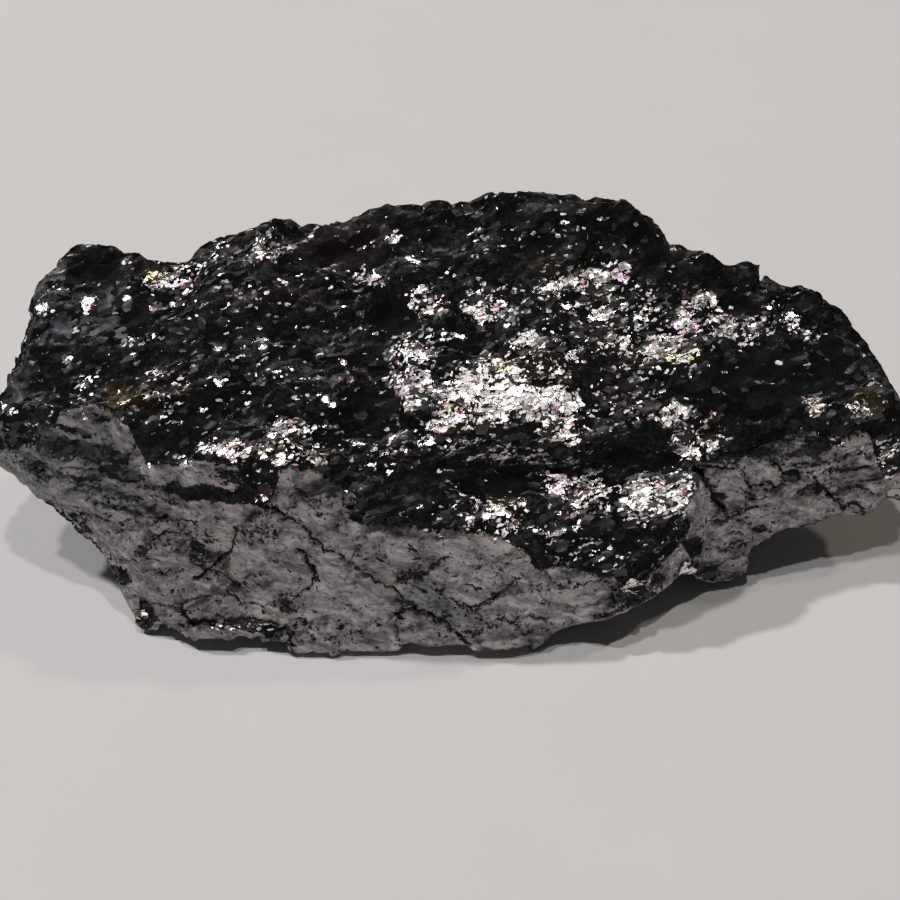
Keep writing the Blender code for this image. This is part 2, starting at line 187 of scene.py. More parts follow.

# Dark patches on the front break: (across, down, half width, half height, turn in degrees, strength).
# Partly darker tone and streaks, and partly painted shade where the stone's lower part lies in shadow, low
# on the right.
DARK_PATCHES_AND_SHADE = (
    (205, 496, 52, 9, 8, 1.1), (252, 492, 20, 17, 0, 1), (362, 520, 14, 7, 15, 1),
    (85, 452, 52, 12, 12, 1), (122, 474, 32, 9, 10, 1), (72, 430, 26, 7, 15, 0.9),
    (408, 578, 18, 8, 0, 0.8), (372, 555, 18, 8, 20, 0.5), (290, 606, 8, 12, -30, 0.8),
    (255, 626, 38, 9, 10, 1), (84, 518, 16, 8, 20, 0.8), (144, 552, 8, 5, 0, 0.8),
    (192, 552, 7, 12, -20, 0.8), (474, 632, 10, 5, 0, 1), (498, 610, 20, 9, 25, 0.5),
    (535, 630, 18, 7, -20, 0.5), (755, 450, 24, 11, 0, 0.8), (815, 444, 15, 9, 10, 1),
    (812, 491, 17, 8, -25, 0.9), (705, 530, 10, 12, 30, 0.6), (793, 474, 9, 5, 0, 0.8),
    (762, 530, 11, 4, 0, 0.9), (695, 548, 10, 12, 0, 1), (740, 575, 14, 5, -20, 0.8),
    (735, 540, 24, 4, -5, 0.7), (770, 460, 22, 5, 10, 0.7), (884, 498, 14, 16, 0, 0.5),
    (842, 470, 22, 4, -15, 0.7), (722, 520, 13, 5, -10, 0.7), (850, 492, 14, 5, 10, 0.6),
    (866, 489, 16, 3, 10, 0.8), (858, 470, 20, 3, -12, 0.8), (705, 572, 18, 14, 0, 0.9),
    (262, 545, 20, 12, 20, 0.4), (318, 606, 22, 12, 20, 0.45), (340, 525, 12, 8, 0, 0.6),
    (506, 588, 10, 8, 0, 0.6), (147, 622, 10, 8, 0, 0.9), (640, 598, 18, 8, -30, 0.9),
    (718, 500, 8, 10, -40, 0.9), (345, 500, 5, 12, -20, 0.7), (30, 476, 20, 6, 35, 0.5),
    (120, 570, 12, 10, 40, 0.5), (262, 531, 26, 9, 8, 0.75), (425, 570, 22, 7, -25, 0.6),
    (485, 620, 22, 10, 30, 0.6), (285, 603, 9, 14, 0, 0.8), (210, 560, 14, 6, -20, 0.6),
    (360, 538, 16, 6, 20, 0.6), (415, 545, 14, 6, 10, 0.5), (500, 590, 14, 10, -30, 0.6),
    (552, 600, 16, 6, 40, 0.4), (610, 590, 8, 10, 0, 0.6), (78, 525, 15, 11, 40, 0.95),
    (104, 538, 8, 15, -30, 0.55), (118, 573, 7, 20, -35, 0.85), (146, 610, 8, 16, 0, 0.95),
    (698, 575, 24, 15, 0, 1), (658, 583, 14, 6, -45, 0.9), (625, 611, 36, 6, -15, 0.85),
    (30, 462, 24, 5, 25, 0.7), (60, 490, 26, 4, 20, 0.5), (130, 500, 26, 5, 15, 0.6),
    (155, 545, 10, 6, 0, 0.7), (880, 508, 10, 6, -20, 0.6), (232, 477, 22, 9, 8, 0.85),
    (40, 468, 26, 3, 22, 0.85), (78, 478, 30, 3, 18, 0.85), (104, 490, 30, 3, 20, 0.8),
    (54, 500, 20, 3, 30, 0.8), (92, 511, 26, 3, 22, 0.8), (140, 512, 30, 3, 10, 0.75),
    (124, 530, 26, 3, 10, 0.75), (60, 455, 26, 4, 15, 0.85), (162, 500, 24, 3, 14, 0.75),
    (170, 540, 26, 3, 8, 0.7), (150, 488, 16, 4, 10, 0.8), (800, 452, 30, 4, -5, 0.85),
    (818, 462, 34, 3, 0, 0.85), (832, 471, 30, 3, -8, 0.8), (798, 439, 22, 5, 0, 0.8),
    (848, 456, 16, 5, -20, 0.75), (724, 548, 26, 3, -12, 0.75), (720, 562, 24, 3, -14, 0.75),
    (736, 584, 20, 3, -14, 0.75), (838, 500, 6, 5, 0, 0.8), (430, 600, 30, 9, 35, 0.3),
    (170, 520, 40, 4, 8, 0.3), (330, 548, 26, 4, 5, 0.3),
)

# Cracks across the front break: width, depth (tenths of a millimetre), points (across, down).
CRACKS = (
    (3.4, 2, ((262, 508), (285, 518), (303, 530), (312, 540), (322, 551), (334, 553))),
    (2.8, 2, ((334, 553), (345, 562), (365, 575), (385, 588), (405, 602), (418, 612))),
    (3.6, 3, ((418, 612), (437, 620), (450, 630), (465, 642), (475, 656))),
    (5, 4, ((297, 552), (305, 561), (306, 568), (314, 578))),
    (2.6, 1.5, ((312, 580), (305, 589), (293, 599), (288, 612))),
    (4, 2, ((232, 530), (230, 545), (228, 556), (215, 563), (205, 572), (195, 577))),
    (2, 1.5, ((216, 568), (228, 578), (241, 586))),
    (2.6, 1,
     ((146, 553), (150, 543), (158, 534), (172, 531), (186, 535), (196, 545), (202, 556), (203, 566))),
    (2, 1, ((132, 597), (150, 603), (183, 603), (240, 605), (286, 608))),
    (4, 2, ((183, 603), (182, 612), (188, 620), (198, 624), (222, 626), (262, 630), (291, 634), (290, 646))),
    (2, 1.5, ((286, 596), (283, 604), (290, 612))),
    (1.9, 1, ((334, 600), (345, 607), (353, 612), (362, 615))),
    (1.9, 1, ((395, 598), (400, 612), (395, 622), (396, 636), (400, 646))),
    (1.6, 1, ((340, 625), (355, 630), (370, 642), (378, 648))),
    (1.6, 1, ((298, 618), (308, 630), (314, 640))),
    (2.8, 1.5, ((437, 588), (447, 598), (460, 605), (480, 606), (495, 597), (506, 590), (515, 580))),
    (2.8, 1.5, ((404, 582), (416, 579), (428, 574), (438, 564), (448, 557))),
    (2, 1, ((408, 544), (418, 556), (414, 566), (418, 578))),
    (2.6, 1.5, ((462, 606), (480, 620), (490, 628), (512, 623), (526, 617), (547, 624))),
    (1.8, 1, ((512, 622), (520, 632), (531, 641))),
    (2.2, 1.5, ((544, 570), (552, 582), (561, 587), (568, 584), (567, 570))),
    (2.2, 1.5, ((568, 584), (585, 590), (600, 584), (612, 580))),
    (1.9, 1, ((520, 572), (530, 585), (541, 596), (549, 606), (548, 618))),
    (2.8, 1.5, ((606, 584), (613, 595), (614, 606))),
    (6, 4, ((690, 466), (702, 474), (708, 486), (714, 498), (724, 508))),
    (2.8, 1.5,
     ((688, 470), (705, 467), (735, 467), (744, 479), (752, 488), (765, 481), (774, 489), (782, 484))),
    (1.4, 1.5, ((748, 503), (757, 500), (766, 498))),
    (3.8, 2, ((770, 460), (783, 474), (793, 470), (800, 477))),
    (4.6, 2.5,
     ((816, 478), (828, 492), (838, 502), (842, 509), (850, 505), (858, 505), (862, 512), (872, 518))),
    (1.9, 1, ((790, 465), (810, 466), (830, 461), (852, 450))),
    (1.4, 1, ((800, 458), (815, 460), (835, 454))),
    (1.4, 1, ((812, 471), (830, 467), (856, 457))),
    (1.4, 1, ((826, 478), (842, 472), (860, 464))),
    (1.9, 1, ((727, 521), (742, 514), (760, 509))),
    (1.9, 1, ((700, 526), (735, 522), (770, 532))),
    (1.4, 1.5, ((700, 546), (720, 539), (742, 534))),
    (1.4, 1.5, ((708, 568), (728, 565), (745, 556))),
    (2, 1.5, ((708, 583), (728, 580), (745, 574))),
    (1.8, 1, ((735, 490), (748, 492), (756, 496))),
    (1.7, 1, ((30, 466), (50, 478), (80, 482), (110, 492))),
    (1.6, 1, ((40, 478), (70, 488), (98, 503), (118, 508))),
    (1.7, 1, ((60, 468), (100, 474), (130, 486), (150, 498))),
    (1.6, 1, ((110, 515), (140, 514), (165, 516))),
    (1.6, 1, ((120, 521), (150, 525), (180, 522))),
    (2, 1, ((180, 520), (196, 532), (206, 542), (214, 543))),
    (2.1, 1, ((104, 556), (120, 557), (140, 560), (160, 561))),
    (1.6, 1, ((146, 572), (165, 574), (185, 570))),
    (1.9, 1, ((240, 540), (252, 546), (262, 536), (276, 540))),
    (1.8, 1, ((300, 498), (312, 506), (318, 515))),
    (1.6, 1, ((288, 492), (300, 494), (310, 500), (330, 496))),
)
CRACK_REACH = 6.0  # how far a crack is felt on either side
CRACK_LIP = 0.9  # how far inside its rim a crack is fully felt
CRACK_SIDE = (0.7, 1.1)  # how strongly a crack is felt where it starts to sink, and where it's deepest
CRACK_ZONE = 2.8  # how far from a crack the surface grid is finer

# Thin raised ridges that catch the light above the brow: half width, height, points (across, down).
RIDGES = (
    (2.5, 3, ((250, 262), (260, 252), (266, 240), (269, 230))),
    (2, 3, ((277, 256), (274, 245), (268, 232))),
    (1.5, 2, ((291, 250), (285, 238), (274, 232))),
    (2.5, 2.5, ((272, 261), (290, 253), (303, 243), (318, 232))),
    (1.5, 1.5, ((318, 385), (317, 368), (322, 354), (336, 341), (350, 334), (364, 318), (382, 301))),
    (1.5, 1.5, ((335, 294), (345, 292), (360, 297))),
    (1.5, 1.5, ((335, 300), (341, 312), (354, 309), (364, 300))),
    (1.5, 1.5, ((322, 420), (330, 427), (343, 434))),
    (1.5, 1.5, ((365, 366), (367, 377), (378, 388))),
    (2, 2, ((339, 362), (346, 372), (349, 388))),
    (1.5, 1.5, ((315, 272), (330, 268), (345, 262))),
    (2, 2, ((386, 352), (398, 342), (420, 331), (445, 312))),
    (2, 2, ((385, 358), (390, 372), (396, 392), (410, 410), (428, 430))),
    (1.5, 2, ((66, 366), (72, 358))),
    (2, 2, ((855, 400), (868, 406))),
    (2, 2, ((855, 408), (868, 415))),
    (1.5, 1.5, ((858, 345), (864, 358), (872, 362))),
    (2, 2, ((866, 372), (876, 386), (886, 396))),
    (1.5, 1.5, ((740, 386), (780, 384), (815, 376))),
    (1.5, 1.5, ((40, 300), (55, 290), (75, 288), (96, 283))),
    (1.5, 1.5, ((34, 290), (60, 272), (84, 262))),
    (1.5, 1, ((700, 340), (722, 330), (738, 318))),
    (1.5, 1.5, ((200, 310), (215, 300), (232, 296), (246, 300))),
    (1.5, 1.5, ((250, 405), (238, 410), (228, 418))),
    (1.5, 1.5, ((395, 262), (375, 270), (355, 280))),
    (1.5, 1.5, ((512, 302), (517, 318), (514, 330))),
    (1.5, 1.5, ((395, 415), (398, 425), (396, 438))),
)

# Shell-shaped hollows: (across, down, half width, half height, depth).
HOLLOWS = (
    (62, 325, 18, 15, 7), (106, 298, 13, 18, 7), (130, 316, 15, 13, 3), (88, 275, 22, 9, 5),
    (395, 322, 24, 20, 5), (370, 410, 36, 27, 6), (735, 307, 32, 8, 6), (775, 385, 60, 24, 6),
    (560, 545, 18, 16, 6), (640, 562, 16, 12, 7), (638, 592, 14, 8, 6), (180, 549, 20, 11, 3),
    (400, 572, 26, 10, 3), (440, 604, 34, 9, 3), (250, 490, 20, 10, 4), (120, 395, 16, 14, 4),
    (335, 255, 40, 14, 4), (815, 446, 16, 10, 3),
)

# How far the stone's upper edge is lifted, from left to right: (across, lift in tenths of a millimetre).
EDGE = (
    (-20, 0), (2, 0), (10, -14), (20, -23), (30, -10), (38, 4), (52, 1), (68, -3), (84, 1), (104, 0),
    (120, 1), (140, 8), (152, 2), (164, -9), (190, -10), (200, -2), (214, -1), (228, -2), (252, 3), (268, 4),
    (290, 7), (302, 2), (312, 1), (324, 4), (340, 1), (352, -2), (370, 4), (388, 7), (412, 4), (428, -1),
    (450, 1), (470, -4), (484, 2), (494, 8), (508, 8), (540, 5), (590, 7), (604, 5), (636, 2), (644, 0),
    (660, 11), (670, 0), (682, 4), (692, 2), (708, -2), (724, -3), (748, 3), (757, 1), (764, 10), (772, 10),
    (780, 10), (796, 8), (808, 3), (820, 2), (836, 7), (868, 11), (884, 5), (900, 0), (1000, 0),
)
EDGE_DEPTH = 45.0  # how far down from the upper edge the lift is felt

# Where the front's lower edge stands clear of the table: (from, to across, height in mm).
UNDERCUTS = ((160, 291, 1.4), (293, 402, 0.5), (404, 532, 1.2))
UNDERCUT_DEPTH = 2.4  # mm
UNDERCUT_REACH = 5.0  # mm
UNDERCUT_SOFT = 0.15  # mm up and down over which it fades
UNDERCUT_FADE = 4  # tenths of a millimetre across over which it fades at either end
UNDERCUT_ZONE = 2.0  # mm above the table in which the front's foot is looked for

# ---------------- the stone's surface

TENTH = 0.1  # mm in a unit of the marks
GRID = 0.33  # edge of the surface grid, mm
SOFTEN = 5  # rounds of smoothing that take the CAD's flat triangles out
OWN_SHARE = 0.4  # how much of its own place a point keeps in each round
THINNED = 0.58  # share of the grid that is kept when the part behind is made coarser
CRACK_CUTS = 2  # how often an edge of the grid is cut along the cracks

# How squarely a point faces the first view, from -1 to 1: where it starts to be seen, and is in full view.
BEHIND, IN_VIEW = -0.05, 0.35
CRACKS_IN_VIEW = 0.1  # from here the grid is finer along the cracks
PLANE_FADE = (-0.2, 0.1)  # the front break fades out between these
FRONT_FADE = (0.4, 0.6)  # shares of the front break between which its own fine breaks take over

# Fine breaks on the hackly top: (size mm, tilt, seed), and on the plane front.
BREAKS = ((2.8, 0.20, 41.0), (1.3, 0.20, 7.0), (0.7, 0.14, 19.0))
FRONT_BREAKS = ((6.0, 0.07, 3.0), (2.6, 0.06, 5.0))
STREAK = Vector((0.94, 0.26, 0.20)).normalized()  # the way they run
STRETCH = 2.2  # how long they are along it
BREAK_OFFSET = 0.08  # how far one may lie deeper than the next, as a share of its size
BREAK_WALL = 1.2  # how steeply one rises beyond its own cell
SMOOTH_LOSS = 0.75  # share of the fine breaks that a smooth place loses
FOOT_DOWN = (0.7, 0.95)  # how squarely down a point faces where the fine breaks fade out under the stone

BEND = 0.17  # how far a crack strays, as a share of its length
NEAR = 20.0  # how far from a line its distance matters
FAR = 1e9  # further than any place
SEED = 1  # of the noise, which would otherwise change with the clock

# How the rims of the marks stray: (size mm, seed, strength), and how far in tenths of a millimetre.
STRAYING = ((2.6, 0.0, 1.0), (0.8, 9.0, 0.5))
MARK_STRAY = 6
BROW_STRAY = 4

# The calmer places behind: size in mm, seed, the noise between which they fade in, and how smooth they are.
CALM_SIZE, CALM_SEED = 13.0, 31.0
CALM_FADE = (0.02, 0.22)
CALM_SMOOTH = 0.9

# What is kept at each point of the surface for the material.
MARKS = (
    "plane", "smooth", "satin", "crack", "ridge", "dim", "sparkle", "glint", "cool", "warm", "pink", "gold",
)

# The field's narrow columns, in which the stone's edges are looked up.
COLUMN_WIDTH = 4
COLUMN_START = -60
COLUMNS = 301


def new_object(name, data):
    """A new object in the scene."""
    made = bpy.data.objects.new(name, data)
    bpy.context.scene.collection.objects.link(made)
    return made


def aim(item, place, turn):
    item.location = place
    item.rotation_mode = "QUATERNION"
    item.rotation_quaternion = turn


def cells(points, size, tilt, seed):
    """The patchwork of flat breaks at each point: the lowest of the planes of the nearest cells, in mm."""
    heights = np.empty(len(points))
    for i, co in enumerate(points):
        point = Vector(co)
        squeezed = point - STREAK * point.dot(STREAK) * (1 - 1 / STRETCH)
        place = squeezed / size + Vector((seed, seed, seed))
        distances, centres = noise.voronoi(place)
        best = FAR
        for distance, centre in zip(distances, centres):
            slope = 2 * tilt * (noise.cell_vector(centre * 7.31) - Vector((0.5, 0.5, 0.5)))
            plane = slope.dot(place - centre) + BREAK_OFFSET * noise.cell(centre * 3.17)
            best = min(best, plane + BREAK_WALL * (distance - distances[0]))
        heights[i] = size * best
    return heights


def fade(value, low, high):
    """0 at low, 1 at high, and an S-shaped curve between them."""
    share = np.clip((value - low) / (high - low), 0.0, 1.0)
    return share * share * (3.0 - 2.0 * share)


def positions(mesh):
    """The mesh's points in mm, one per row."""
    flat = np.empty(len(mesh.vertices) * 3)
    mesh.vertices.foreach_get("co", flat)
    return flat.reshape(-1, 3) / MM


def normals(mesh):
    flat = np.empty(len(mesh.vertices) * 3)
    mesh.vertices.foreach_get("normal", flat)
    return flat.reshape(-1, 3)


def squarely(mesh):
    """How squarely each point faces the first view, from -1 to 1."""
    return normals(mesh) @ np.array(BACKWARD)


def set_positions(mesh, places):
    mesh.vertices.foreach_set("co", (places * MM).ravel())
    mesh.update()


def softened(mesh, places, rounds):
    """The places, each drawn towards the middle of its neighbours round by round."""
    ends = np.empty(len(mesh.edges) * 2, np.int64)
    mesh.edges.foreach_get("vertices", ends)
    ends = ends.reshape(-1, 2)
    count = np.bincount(ends.ravel(), minlength=len(places))[:, None]
    for _ in range(rounds):
        total = np.zeros_like(places)
        for axis in range(3):
            total[:, axis] = np.bincount(ends[:, 0], places[ends[:, 1], axis], len(places))
            total[:, axis] += np.bincount(ends[:, 1], places[ends[:, 0], axis], len(places))
        places = OWN_SHARE * places + (1 - OWN_SHARE) * total / count
    return places


def wandering(places, size, seed):
    """A smooth random vector at each point."""
    offset = Vector((seed, seed, seed))
    return np.array([noise.noise_vector(Vector(place) / size + offset) for place in places])


def seen(places):
    """Where each point lies in the field of the marks."""
    away = places - np.array(TARGET) / MM
    depth = DISTANCE / MM - away @ np.array(BACKWARD)
    zoom = FIELD * FOCAL_LENGTH / SENSOR / depth
    return FIELD / 2 + zoom * away[:, 0], FIELD / 2 - zoom * (away @ np.array(UPWARD))


def jagged(line, rounds=3):
    """The line with its segments bent sideways again and again, as a crack runs."""
    points = [Vector(point) for point in line]
    for _ in range(rounds):
        bent = points[:1]
        for a, b in zip(points, points[1:]):
            aside = Vector((a.y - b.y, b.x - a.x))
            bend = noise.cell(Vector((a.x * 7.1, b.y * 3.3, a.y + b.x))) - 0.5
            bent += [(a + b) / 2 + BEND * bend * aside, b]
        points = bent
    return np.array([tuple(point) for point in points])


def line_distance(across, down, line):
    """Distance of each place in the field from a jagged line, where it is near."""
    line = jagged(line)
    low, high = line.min(axis=0) - NEAR, line.max(axis=0) + NEAR
    nearest = np.full(len(across), FAR)
    inside = np.nonzero((across > low[0]) & (across < high[0]) & (down > low[1]) & (down < high[1]))[0]
    points = np.stack([across[inside], down[inside]], axis=1)
    for a, b in zip(line, line[1:]):
        along = np.clip((points - a) @ (b - a) / ((b - a) @ (b - a)), 0, 1)
        gap = np.linalg.norm(points - a - along[:, None] * (b - a), axis=1)
        nearest[inside] = np.minimum(nearest[inside], gap)
    return nearest


def oval(across, down, u, v, half_width, half_height, turn=0):
    """How far out each place lies in an oval: 0 at the middle and 1 on the rim."""
    cos, sin = math.cos(math.radians(turn)), math.sin(math.radians(turn))
    along = (across - u) * cos + (down - v) * sin
    aside = (down - v) * cos - (across - u) * sin
    return np.hypot(along / half_width, aside / half_height)


def spread(across, down, marks, soft=0.5):
    """The strongest of the oval marks at each place. A mark's last number is its strength."""
    strength = np.zeros(len(across))
    for *shape, share in marks:
        off = oval(across, down, *shape)
        strength = np.maximum(strength, share * fade(1 + soft / 2 - off, 0.0, soft))
    return strength


def least_in_column(across, values, counted=slice(None)):
    """The least of the counted values in the column of the field that each place lies in."""
    column = np.clip(((across - COLUMN_START) / COLUMN_WIDTH).astype(int), 0, COLUMNS - 1)
    least = np.full(COLUMNS, FAR)
    np.minimum.at(least, column[counted], values[counted])
    return least[column]


def lifted_edge(places):
    """The places, with the upper edge that shows in the first view lifted or lowered."""
    across, down = seen(places)
    below_edge = down - least_in_column(across, down)
    lift = np.interp(across, *zip(*EDGE)) * fade(below_edge, EDGE_DEPTH, 0.0)
    return places + TENTH * lift[:, None] * np.array(UPWARD)


def undercut(places):
    """The places, with the foot of the front drawn in where the lower edge stands clear of the table."""
    across, _ = seen(places)
    height, depth = places[:, 2], places[:, 1]
    behind = depth - least_in_column(across, depth, height < UNDERCUT_ZONE)
    moved = places.copy()
    for start, end, top in UNDERCUTS:
        share = fade(height, top + UNDERCUT_SOFT, top - UNDERCUT_SOFT)
        share *= fade(across, start - UNDERCUT_FADE, start + UNDERCUT_FADE)
        share *= fade(across, end + UNDERCUT_FADE, end - UNDERCUT_FADE)
        share *= fade(behind, UNDERCUT_REACH, 0.0)
        moved[:, 1] += UNDERCUT_DEPTH * share
    return moved


def baked(stone):
    """Replaces the stone's mesh with what its modifiers make of it."""
    graph = bpy.context.evaluated_depsgraph_get()
    stone.data = bpy.data.meshes.new_from_object(stone.evaluated_get(graph), depsgraph=graph)
    stone.modifiers.clear()


def thin_behind(stone):
    """Makes the grid coarser where it faces away from the first view."""
    group = stone.vertex_groups.new(name="behind")
    group.add(np.nonzero(squarely(stone.data) < BEHIND)[0].tolist(), 1.0, "REPLACE")
    thin = stone.modifiers.new("thin", "DECIMATE")
    thin.vertex_group = group.name
    thin.ratio = THINNED
    baked(stone)
    stone.vertex_groups.clear()


def refine_near_cracks(mesh):
    """Cuts the faces of the front finer along its cracks."""
    across, down = seen(positions(mesh))
    near = np.min([line_distance(across, down, line) for _, _, line in CRACKS], axis=0) < CRACK_ZONE
    near &= squarely(mesh) > CRACKS_IN_VIEW
    body = bmesh.new()
    body.from_mesh(mesh)
    body.verts.ensure_lookup_table()
    edges = [edge for edge in body.edges if near[edge.verts[0].index] and near[edge.verts[1].index]]
    bmesh.ops.subdivide_edges(body, edges=edges, cuts=CRACK_CUTS, use_grid_fill=True)
    bmesh.ops.triangulate(body, faces=body.faces)
    body.to_mesh(mesh)
    body.free()


def surface_grid(cad):
    """A new object with the CAD solid's shape as a fine, softened grid, with its edges trimmed."""
    stone = new_object("stone_surface", cad.data.copy())
    grid = stone.modifiers.new("grid", "REMESH")
    grid.mode = "VOXEL"
    grid.voxel_size = GRID * MM
    baked(stone)
    places = softened(stone.data, positions(stone.data), SOFTEN)
    set_positions(stone.data, undercut(lifted_edge(places)))
    thin_behind(stone)
    refine_near_cracks(stone.data)
    return stone


def glints(across, down):
    """The single bright grains. Each is full up to half its width, and gone a third beyond its rim."""
    strength = np.zeros(len(across))
    for half_width, middles in GLINTS:
        for u, v in middles:
            off = oval(across, down, u, v, half_width, GLINT_HEIGHT * half_width)
            strength = np.maximum(strength, np.clip(1.6 - 1.2 * off, 0, 1))
    return strength


def cracks(across, down, toward):
    """How strongly a crack is felt at each place, and how far it sinks there in mm."""
    crack, sink = np.zeros(len(across)), np.zeros(len(across))
    for width, depth, line in CRACKS:
        inside = line_distance(across, down, line) - width / 2 + CRACK_LIP
        felt = np.clip(1 - inside / CRACK_REACH, 0, 1.5) * toward
        crack = np.maximum(crack, felt)
        sink = np.maximum(sink, TENTH * depth * fade(felt, *CRACK_SIDE))
    return crack, sink


def ridges(across, down, toward):
    """How near a ridge's crest is at each place, from 0 to 1, and how far it rises there in mm."""
    ridge, rise = np.zeros(len(across)), np.zeros(len(across))
    for width, height, line in RIDGES:
        crest = toward * np.clip(1.4 - line_distance(across, down, line) / width, 0, 1)
        ridge = np.maximum(ridge, crest)
        rise = np.maximum(rise, TENTH * height * crest)
    return ridge, rise


def stone_surface(cad):
    """The dressed stone: small forms on the surface grid, and the marks as values at its points."""
    noise.seed_set(SEED)
    stone = surface_grid(cad)
    mesh = stone.data
    places = positions(mesh)
    facing = normals(mesh)
    toward = fade(squarely(mesh), BEHIND, IN_VIEW)
    across, down = seen(places)
    stray = sum(strength * wandering(places, size, seed) for size, seed, strength in STRAYING)
    loose = across + MARK_STRAY * stray[:, 0], down + MARK_STRAY * stray[:, 2]

    brow = np.interp(across + BROW_STRAY * stray[:, 2], *zip(*BROW))
    below = down + BROW_STRAY * stray[:, 1] - brow
    plane = np.clip(0.5 + below / BROW_SOFT, 0, 1) * fade(squarely(mesh), *PLANE_FADE)
    front = fade(plane, *FRONT_FADE)
    calm = fade(wandering(places, CALM_SIZE, CALM_SEED)[:, 0], *CALM_FADE) * (1 - toward)
    smooth = np.maximum(spread(*loose, SMOOTH) * (1 - front) * toward, CALM_SMOOTH * calm)
    everywhere = SPARKLE_EVERYWHERE * toward + SPARKLE_BEHIND * (1 - toward)
    sparkle = np.maximum(spread(*loose, SPARKLES, 1.0) * toward, everywhere * (1 - smooth) * (1 - front))
    crack, sink = cracks(across, down, toward)
    ridge, rise = ridges(across, down, toward)
    for *shape, depth in HOLLOWS:
        off = oval(*loose, *shape)
        sink = np.maximum(sink, TENTH * depth * toward * np.clip(1 - off * off, 0, 1))

    hackly = sum(cells(places, *each) for each in BREAKS) * (1 - front) * (1 - SMOOTH_LOSS * smooth)
    flaky = sum(cells(places, *each) for each in FRONT_BREAKS) * front
    under = fade(-facing[:, 2], *FOOT_DOWN)
    places = places + facing * ((hackly + flaky) * (1 - under) + rise - sink)[:, None]
    places[:, 2] = np.maximum(places[:, 2], 0.0)
    set_positions(mesh, places)

    # Where the satin facets' sheen is painted as a lighter matte grey.
    satin = spread(*loose, PAINTED_SATIN_SHEEN, 0.6) * toward
    # Darker tone, and painted shade on the shadowed lower right of the front.
    dim = spread(*loose, DARK_PATCHES_AND_SHADE, 0.7) * toward
    glint = glints(across, down) * toward
    tints = [spread(*loose, marks, 1.0) * toward for marks in (COOL, WARM, PINK, GOLD)]
    for name, values in zip(MARKS, (plane, smooth, satin, crack, ridge, dim, sparkle, glint, *tints)):
        mesh.attributes.new(name, "FLOAT", "POINT").data.foreach_set("value", values.astype(np.float32))
    mesh.polygons.foreach_set("use_smooth", np.ones(len(mesh.polygons), bool))
    return stone


# ---------------- materials

CLEAVAGE = (-0.13, -0.40, 0.905)  # the way the sparkling grains face
DARK_WAY = (0.0, -0.80, 0.60)  # the way most other grains lean
FRONT_WAY = (0.0, -0.98, 0.05)  # the way the front break's grains lean
FLOW = (0.93, 0.0, -0.37)  # the way the front's streaks run
OUTWARD_RISE = 0.22  # how far the bright grains of a steep wall look up
STEEP = (0.26, 0.20)  # how far up a wall's face looks where it starts to be steep, and is fully so
LEAST_TINT = 0.15  # share of the bright grains that have a tint in any place
DULL_ROUGHNESS = 0.50
FRONT_ROUGHNESS = 0.36

# Grains, chips and facets per mm.
PLATES, GRAINS, DOTS = 0.9, 1.7, 2.5
CHIPS, FACETS = 0.6, 0.25

# Colours, as red, green and blue. On the top:
COAL = (0.065, 0.065, 0.075)
SOOT = (0.095, 0.085, 0.080)
ASH = (0.20, 0.19, 0.19)
JET = (0.055, 0.055, 0.060)
BLUISH = (0.125, 0.140, 0.165)
BROWNISH = (0.130, 0.095, 0.080)
AMBER = (0.34, 0.21, 0.06)
DULL_BLACK = (0.012, 0.011, 0.011)
# Painted sheen of the dull facets, grey and bluish.
PAINTED_SHEEN_GREY = (0.215, 0.200, 0.190)
PAINTED_SHEEN_BLUE = (0.195, 0.210, 0.235)

# On the front break.
FRONT_DARK = (0.095, 0.088, 0.092)
FRONT_PALE = (0.590, 0.555, 0.552)
FRONT_COOL_DARK = (0.060, 0.063, 0.080)
FRONT_COOL_PALE = (0.310, 0.316, 0.350)
FRONT_WARM = (0.150, 0.120, 0.095)
# Painted shade beside the cracks and in the dark patches, which are partly darker tone.
STAIN_AND_SHADE = (0.060, 0.058, 0.065)
CRACK_BLACK = (0.018, 0.017, 0.018)

# Of the grains that sparkle.
SILVER = (0.395, 0.378, 0.360)
PALE_PINK = (0.37, 0.29, 0.32)
DEEP_PINK = (0.40, 0.18, 0.27)
GREENISH_GOLD = (0.38, 0.37, 0.20)
PALE_GOLD = (0.36, 0.33, 0.27)
STEEP_GREY = (0.70, 0.68, 0.68)
STEEP_WHITE = (1.0, 0.96, 0.95)
UNLIT = (0.02, 0.02, 0.02)

# Of the table.
TABLE_DARK = (0.80, 0.776, 0.765)
TABLE_PALE = (0.83, 0.806, 0.796)
TABLE_MOTTLE = 60.0  # per metre

HALF = (0.5, 0.5, 0.5)  # the middle of a random colour


def set_inputs(node, inputs):
    """Gives a node's inputs, by name or number, plain values or what other nodes put out."""
    for key, value in inputs.items():
        socket = node.inputs[key]
        if isinstance(value, Value):
            node.id_data.links.new(value.socket, socket)
        elif socket.type == "RGBA":
            socket.default_value = (*value, 1.0)
        else:
            socket.default_value = value


def add_node(tree, kind, inputs, **settings):
    """Adds a node and gives back what it puts out."""
    node = tree.nodes.new("ShaderNode" + kind)
    for name, value in settings.items():
        setattr(node, name, value)
    set_inputs(node, inputs)
    return {key: Value(output) for key, output in [*enumerate(node.outputs), *node.outputs.items()]}


